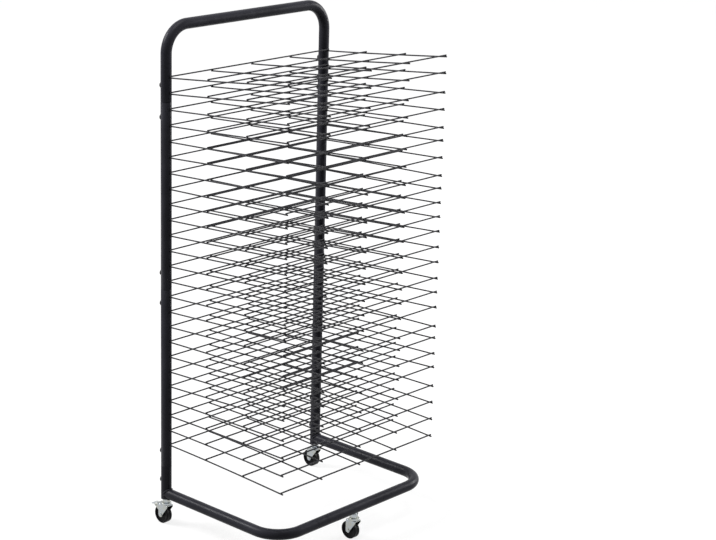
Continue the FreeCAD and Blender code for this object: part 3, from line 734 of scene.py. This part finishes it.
class RACK_OT_bolts(RackOperator):
    """Make the bolts that hold the post sections to their sleeves"""
    bl_idname = "rack.bolts"
    bl_label = "Bolts"

    def make(self, scene):
        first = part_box("lower_post_left")[0].z
        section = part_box("upper_post_left")[0].z - first
        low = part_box("frame_bolts")[0]
        gap = first - low.z - scene.rack_bolts.head
        values = {"Spacing": POST_X * 2, "Joints": 3, "Section": section, "Half gap": gap, "First": first,
                  "Seat": TUBE_RADIUS, "Material": finish_of("bolt black")}
        bolts = grow("frame_bolt_heads", bolts_tree(), values, bolt_mesh(scene.rack_bolts))
        smooth(bolts.data, angle=0.5)
        dress(bolts, "frame", "bolt_steel", "frame_bolts")


# Shelves --------------------------------------------------------------------------------------------


def wire_row(tree, count, start, step, near, far, radius, rings):
    """Copies of one straight wire, set out in steps."""
    line = put(tree, "GeometryNodeCurvePrimitiveLine", {"Start": near, "End": far})
    fine = put(tree, "GeometryNodeResampleCurve", {"Curve": line, "Count": rings}, mode="COUNT")
    spots = put(tree, "GeometryNodeMeshLine", {"Count": count, "Start Location": start, "Offset": step},
                mode="OFFSET")
    row = put(tree, "GeometryNodeInstanceOnPoints", {"Points": spots, "Instance": fine})
    real = put(tree, "GeometryNodeRealizeInstances", {"Geometry": row})
    ring = put(tree, "GeometryNodeCurvePrimitiveCircle", {"Resolution": WIRE_SIDES, "Radius": radius})
    return put(tree, "GeometryNodeCurveToMesh", {"Curve": real, "Profile Curve": ring, "Fill Caps": True})


def sloped(tree, out, flat):
    """Turn a flat shelf about the line between the posts, so that it rises towards the front."""
    turn = put(tree, "FunctionNodeEulerToRotation",
               {"Euler": vector(tree, x=reckon(tree, "MULTIPLY", out["Slope"], -1.0))})
    return put(tree, "GeometryNodeTransform", {"Geometry": flat, "Rotation": turn})


def uneven(tree, out, flat):
    """Lift or drop the front of a shelf, more and more towards the front, and set it at its height."""
    place = put(tree, "ShaderNodeSeparateXYZ", {"Vector": put(tree, "GeometryNodeInputPosition")})
    reach = reckon(tree, "DIVIDE", reckon(tree, "MULTIPLY", place.outputs["Y"], -1.0), out["Depth"])
    amount = reckon(tree, "POWER", reckon(tree, "MAXIMUM", reach, 0.0), BEND_POWER)
    rise = reckon(tree, "ADD", reckon(tree, "MULTIPLY", amount, out["Lift"]), out["Height"])
    return put(tree, "GeometryNodeSetPosition", {"Geometry": flat, "Offset": vector(tree, z=rise)})


def shelf_tree():
    """A welded wire grid: side and inner wires from back to front, cross wires over them, a weld at
    every crossing."""
    numbers = ("Width", "Depth", "Back", "Tip", "Side wire", "Mesh wire", "Side overhang", "End overhang",
               "Slope", "Lift", "Height")
    inputs = [(label, "Float") for label in numbers]
    inputs += [("Columns", "Int"), ("Rows", "Int"), ("Material", "Material")]
    tree, given = new_tree("Wire shelf", inputs)
    out = given.outputs
    left = reckon(tree, "MULTIPLY", out["Width"], -0.5)
    column = reckon(tree, "DIVIDE", out["Width"], out["Columns"])
    row = reckon(tree, "DIVIDE", out["Depth"], out["Rows"])
    side_radius = reckon(tree, "MULTIPLY", out["Side wire"], 0.5)
    mesh_radius = reckon(tree, "MULTIPLY", out["Mesh wire"], 0.5)
    inner_height = reckon(tree, "SUBTRACT", side_radius, mesh_radius)
    cross_height = reckon(tree, "ADD", side_radius, mesh_radius)
    front = reckon(tree, "SUBTRACT", out["Back"], reckon(tree, "ADD", out["Depth"], out["End overhang"]))
    back = reckon(tree, "ADD", out["Back"], out["End overhang"])
    width = reckon(tree, "ADD", out["Width"], reckon(tree, "MULTIPLY", out["Side overhang"], 2.0))
    half = reckon(tree, "MULTIPLY", width, 0.5)
    sides = wire_row(tree, 2, vector(tree, x=left), vector(tree, x=out["Width"]), vector(tree, y=out["Tip"]),
                     vector(tree, y=front), side_radius, SIDE_RINGS)
    inner = wire_row(tree, reckon(tree, "SUBTRACT", out["Columns"], 1.0),
                     vector(tree, x=reckon(tree, "ADD", left, column), z=inner_height),
                     vector(tree, x=column), vector(tree, y=back), vector(tree, y=front), mesh_radius,
                     INNER_RINGS)
    cross = wire_row(tree, reckon(tree, "ADD", out["Rows"], 1.0), vector(tree, y=out["Back"], z=cross_height),
                     vector(tree, y=reckon(tree, "MULTIPLY", row, -1.0)),
                     vector(tree, x=reckon(tree, "MULTIPLY", half, -1.0)), vector(tree, x=half), mesh_radius,
                     CROSS_RINGS)
    grid = put(tree, "GeometryNodeMeshGrid",
               {"Size X": out["Width"], "Size Y": out["Depth"],
                "Vertices X": reckon(tree, "ADD", out["Columns"], 1.0),
                "Vertices Y": reckon(tree, "ADD", out["Rows"], 1.0)})
    centre = reckon(tree, "SUBTRACT", out["Back"], reckon(tree, "MULTIPLY", out["Depth"], 0.5))
    spots = put(tree, "GeometryNodeTransform",
                {"Geometry": grid.outputs["Mesh"], "Translation": vector(tree, y=centre, z=side_radius)})
    drop = put(tree, "GeometryNodeMeshIcoSphere", {"Radius": mesh_radius, "Subdivisions": 2})
    weld = put(tree, "GeometryNodeInstanceOnPoints",
               {"Points": spots, "Instance": drop, "Scale": WELD_SQUASH})
    wires = put(tree, "GeometryNodeJoinGeometry")
    for part in (sides, inner, cross, put(tree, "GeometryNodeRealizeInstances", {"Geometry": weld})):
        tree.links.new(part.outputs[0], wires.inputs[0])
    close_tree(tree, given, uneven(tree, out, sloped(tree, out, wires)))
    return tree


class RACK_OT_shelves(RackOperator):
    """Make the wire shelves, each a little uneven in its own way"""
    bl_idname = "rack.shelves"
    bl_label = "Shelves"

    def make(self, scene):
        sizes = scene.rack_shelves
        tree = shelf_tree()
        chance = random.Random(sizes.seed)
        tip = TUBE_RADIUS + sizes.tip
        for step, node in enumerate(SHELVES):
            share = 2 * step / (len(SHELVES) - 1) - 1
            lift = sizes.spread * share ** SPREAD_POWER + chance.uniform(-sizes.wobble, sizes.wobble)
            values = {
                "Width": POST_X * 2, "Depth": sizes.depth,
                "Back": -TUBE_RADIUS - sizes.stop_gap - sizes.mesh_wire / 2, "Tip": tip,
                "Side wire": sizes.side_wire, "Mesh wire": sizes.mesh_wire,
                "Side overhang": sizes.side_overhang, "End overhang": sizes.end_overhang,
                "Slope": sizes.slope, "Lift": lift,
                "Height": wire_height(node, sizes), "Columns": sizes.columns, "Rows": sizes.rows,
                "Material": finish_of("wire paint"),
            }
            shelf = grow(f"{node}_wires", tree, values)
            smooth(shelf.data)
            dress(shelf, node, "shelf_wire", node)


# Castors --------------------------------------------------------------------------------------------


def turned(name, centre, profile):
    """A ring turned about the X axis through centre, from a closed outline of (x, radius) pairs."""
    work = bmesh.new()
    loops = []
    for step in range(WHEEL_SIDES):
        angle = math.tau * step / WHEEL_SIDES
        loops.append([work.verts.new(centre + Vector((x, radius * math.cos(angle), radius * math.sin(angle))))
                      for x, radius in profile])
    count = len(profile)
    for near, far in zip(loops, loops[1:] + loops[:1]):
        for step in range(count):
            after = (step + 1) % count
            work.faces.new((near[step], near[after], far[after], far[step]))
    bmesh.ops.recalc_face_normals(work, faces=work.faces)
    return show(name, mesh_from(name, work))


def wheel_profile(half, radius, sizes):
    """Half a wheel's section, from the bore round the outside: hub, hollowed web, rim and rounded tread."""
    hub, rim, edge = sizes.hub, radius - sizes.rim, sizes.tread_edge
    web = half - sizes.recess
    hub_edge, hub_foot, hub_draft = 0.0004, 0.0012, 0.0003
    rim_edge, rim_top, rim_foot, rim_draft = 0.0003, 0.0007, 0.0008, 0.0005
    seam, seam_floor, seam_depth = 0.0005, 0.00015, 0.0002
    early, middle_way = 0.12, 0.5
    points = [(half, sizes.bore), (half, hub - hub_edge), (half - hub_edge, hub)]
    points += [(web + hub_draft, hub + hub_edge), (web, hub + hub_foot), (web, rim - rim_foot)]
    points += [(web + rim_draft, rim), (half - rim_edge, rim + rim_edge), (half, rim + rim_top)]
    points += [(half, radius - edge), (half - edge * early, radius - edge * middle_way)]
    points += [(half - edge * middle_way, radius - edge * early), (half - edge, radius)]
    points += [(seam, radius), (seam_floor, radius - seam_depth)]
    return points


class RACK_OT_castor_metal(RackOperator):
    """Make the sockets, stems, ball races, forks and axles of bright zinc"""
    bl_idname = "rack.castor_metal"
    bl_label = "Castor metal"

    def make(self, scene):
        edges = {"stem": 0.0004, "race": 0.0004, "fork": 0.00045, "axle": 0.0004}
        for place in CASTORS:
            polished(f"castor_socket_{place}", "frame", "castor_zinc", "zinc plate", 0.0003)
            for piece, edge in edges.items():
                body = "frame" if piece in ("stem", "race") else f"castor_{place}_swivel"
                polished(f"castor_{place}_{piece}", body, "castor_zinc", "zinc plate", edge)


class RACK_OT_castor_wheels(RackOperator):
    """Make the moulded wheels"""
    bl_idname = "rack.castor_wheels"
    bl_label = "Castor wheels"

    def make(self, scene):
        for place in CASTORS:
            node = f"castor_{place}_wheel"
            low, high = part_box(node)
            right = wheel_profile((high.x - low.x) / 2, (high.z - low.z) / 2, scene.rack_wheels)
            outline = right + [(-x, radius) for x, radius in reversed(right)]
            wheel = turned(f"{node}_moulded", (low + high) / 2, outline)
            smooth(wheel.data, angle=0.7)
            paint_over(wheel, finish_of("wheel plastic"))
            dress(wheel, f"castor_{place}_roller", "wheel_plastic", node)


class RACK_OT_brake(RackOperator):
    """Make the brake pedal and its pin"""
    bl_idname = "rack.brake"
    bl_label = "Brake"

    def make(self, scene):
        polished("castor_left_brake_pedal", "brake_pedal", "castor_zinc", "zinc plate", 0.0004)
        polished("castor_left_brake_pin", "castor_left_swivel", "castor_zinc", "zinc plate", 0.0003)


# Studio ---------------------------------------------------------------------------------------------


def seen_directly(tree):
    """1 on rays from the camera or by way of a mirror or glass, and 0 on the rays that light things."""
    path = put(tree, "ShaderNodeLightPath").outputs
    mirror = reckon(tree, "MAXIMUM", path["Is Glossy Ray"], path["Is Transmission Ray"])
    return reckon(tree, "MAXIMUM", path["Is Camera Ray"], mirror)


def white_floor(studio):
    """White floor that keeps its shadows.  Where it is looked at it adds light of its own, and more of it
    away from the lamps, so that it is as white far off as near by."""
    material = bpy.data.materials.new("white floor")
    material.use_nodes = True
    tree = material.node_tree
    shader = tree.nodes["Principled BSDF"]
    shader.inputs["Base Color"].default_value = FLOOR_GREY
    shader.inputs["Roughness"].default_value = 1.0
    shader.inputs["Specular IOR Level"].default_value = 0.0
    place = put(tree, "ShaderNodeTexCoord").outputs["Object"]
    distance = put(tree, "ShaderNodeVectorMath", {0: place}, operation="LENGTH").outputs["Value"]
    white = spread(tree, distance, studio.near_white, studio.far_white, GLOW_NEAR, GLOW_FAR)
    glow = put(tree, "ShaderNodeEmission", {"Strength": reckon(tree, "MULTIPLY", seen_directly(tree), white)})
    both = put(tree, "ShaderNodeAddShader", {0: shader, 1: glow})
    tree.links.new(both.outputs[0], tree.nodes["Material Output"].inputs["Surface"])
    return material


def soft_lamp(name, place, width, power):
    data = bpy.data.lights.new(name, "AREA")
    data.shape = "DISK"
    data.size = width
    data.energy = power
    lamp = bpy.data.objects.new(name, data)
    bpy.context.scene.collection.objects.link(lamp)
    lamp.location = place
    lamp.rotation_euler = (Vector(LAMP_TARGET) - Vector(place)).to_track_quat("-Z", "Y").to_euler()


class RACK_OT_studio(RackOperator):
    """Make the white floor, the surroundings, the lamps and the camera"""
    bl_idname = "rack.studio"
    bl_label = "Studio"

    def make(self, scene):
        studio = scene.rack_studio
        self.make_surroundings(scene, studio)
        for name, place, width, power in LAMPS:
            soft_lamp(name, place, width, power)
        self.make_camera(scene, studio)

    def make_surroundings(self, scene, studio):
        work = bmesh.new()
        bmesh.ops.create_grid(work, x_segments=1, y_segments=1, size=FLOOR_REACH)
        floor = show("studio_floor", mesh_from("studio_floor", work))
        paint_over(floor, white_floor(studio))
        world = bpy.data.worlds.new("white surroundings")
        scene.world = world
        world.use_nodes = True
        tree = world.node_tree
        direct = seen_directly(tree)
        rest = reckon(tree, "MULTIPLY", reckon(tree, "SUBTRACT", 1.0, direct), studio.ambient)
        backdrop = tree.nodes["Background"]
        backdrop.inputs["Color"].default_value = (1.0, 1.0, 1.0, 1.0)
        tree.links.new(reckon(tree, "ADD", direct, rest), backdrop.inputs["Strength"])

    def make_camera(self, scene, studio):
        turn, tilt, roll = studio.turn, studio.tilt, studio.roll
        ahead = Vector((math.sin(turn) * math.cos(tilt), math.cos(turn) * math.cos(tilt), -math.sin(tilt)))
        level = Vector((math.cos(turn), -math.sin(turn), 0.0))
        upright = level.cross(ahead)
        right = level * math.cos(roll) + upright * math.sin(roll)
        top = upright * math.cos(roll) - level * math.sin(roll)
        data = bpy.data.cameras.new("camera")
        data.lens = studio.lens
        data.sensor_width = 36.0
        data.clip_end = 100.0
        camera = bpy.data.objects.new("camera", data)
        scene.collection.objects.link(camera)
        axes = Matrix((right, top, -ahead)).transposed().to_4x4()
        camera.matrix_world = Matrix.Translation(Vector(studio.place)) @ axes
        scene.camera = camera
        scene.view_settings.view_transform = "Standard"


# Add-on ---------------------------------------------------------------------------------------------


class RACK_PT_rack(bpy.types.Panel):
    """The rack's pieces and their sizes"""
    bl_idname = "RACK_PT_rack"
    bl_label = "Art drying rack"
    bl_space_type = "VIEW_3D"
    bl_region_type = "UI"
    bl_category = "Drying rack"

    def draw(self, context):
        for name, group in GROUPS:
            box = self.layout.box()
            settings = getattr(context.scene, name)
            for setting in group.__annotations__:
                box.prop(settings, setting)
        for operator in OPERATORS:
            self.layout.operator(operator.bl_idname)


GROUPS = (
    ("rack_tubes", RackTubeSizes),
    ("rack_shelves", RackShelfSizes),
    ("rack_bolts", RackBoltSizes),
    ("rack_wheels", RackWheelSizes),
    ("rack_finishes", RackFinishes),
    ("rack_studio", RackStudio),
)
OPERATORS = (
    RACK_OT_tubes,
    RACK_OT_sleeves,
    RACK_OT_bolts,
    RACK_OT_shelves,
    RACK_OT_castor_metal,
    RACK_OT_castor_wheels,
    RACK_OT_brake,
    RACK_OT_studio,
)


def register():
    for name, group in GROUPS:
        bpy.utils.register_class(group)
        setattr(bpy.types.Scene, name, bpy.props.PointerProperty(type=group))
    for operator in OPERATORS:
        bpy.utils.register_class(operator)
    bpy.utils.register_class(RACK_PT_rack)


def unregister():
    bpy.utils.unregister_class(RACK_PT_rack)
    for operator in reversed(OPERATORS):
        bpy.utils.unregister_class(operator)
    for name, group in reversed(GROUPS):
        delattr(bpy.types.Scene, name)
        bpy.utils.unregister_class(group)


def main():
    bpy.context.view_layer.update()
    register()
    for operator in OPERATORS:
        group, name = operator.bl_idname.split(".")
        getattr(getattr(bpy.ops, group), name)()


if __name__ == "__main__":
    main()
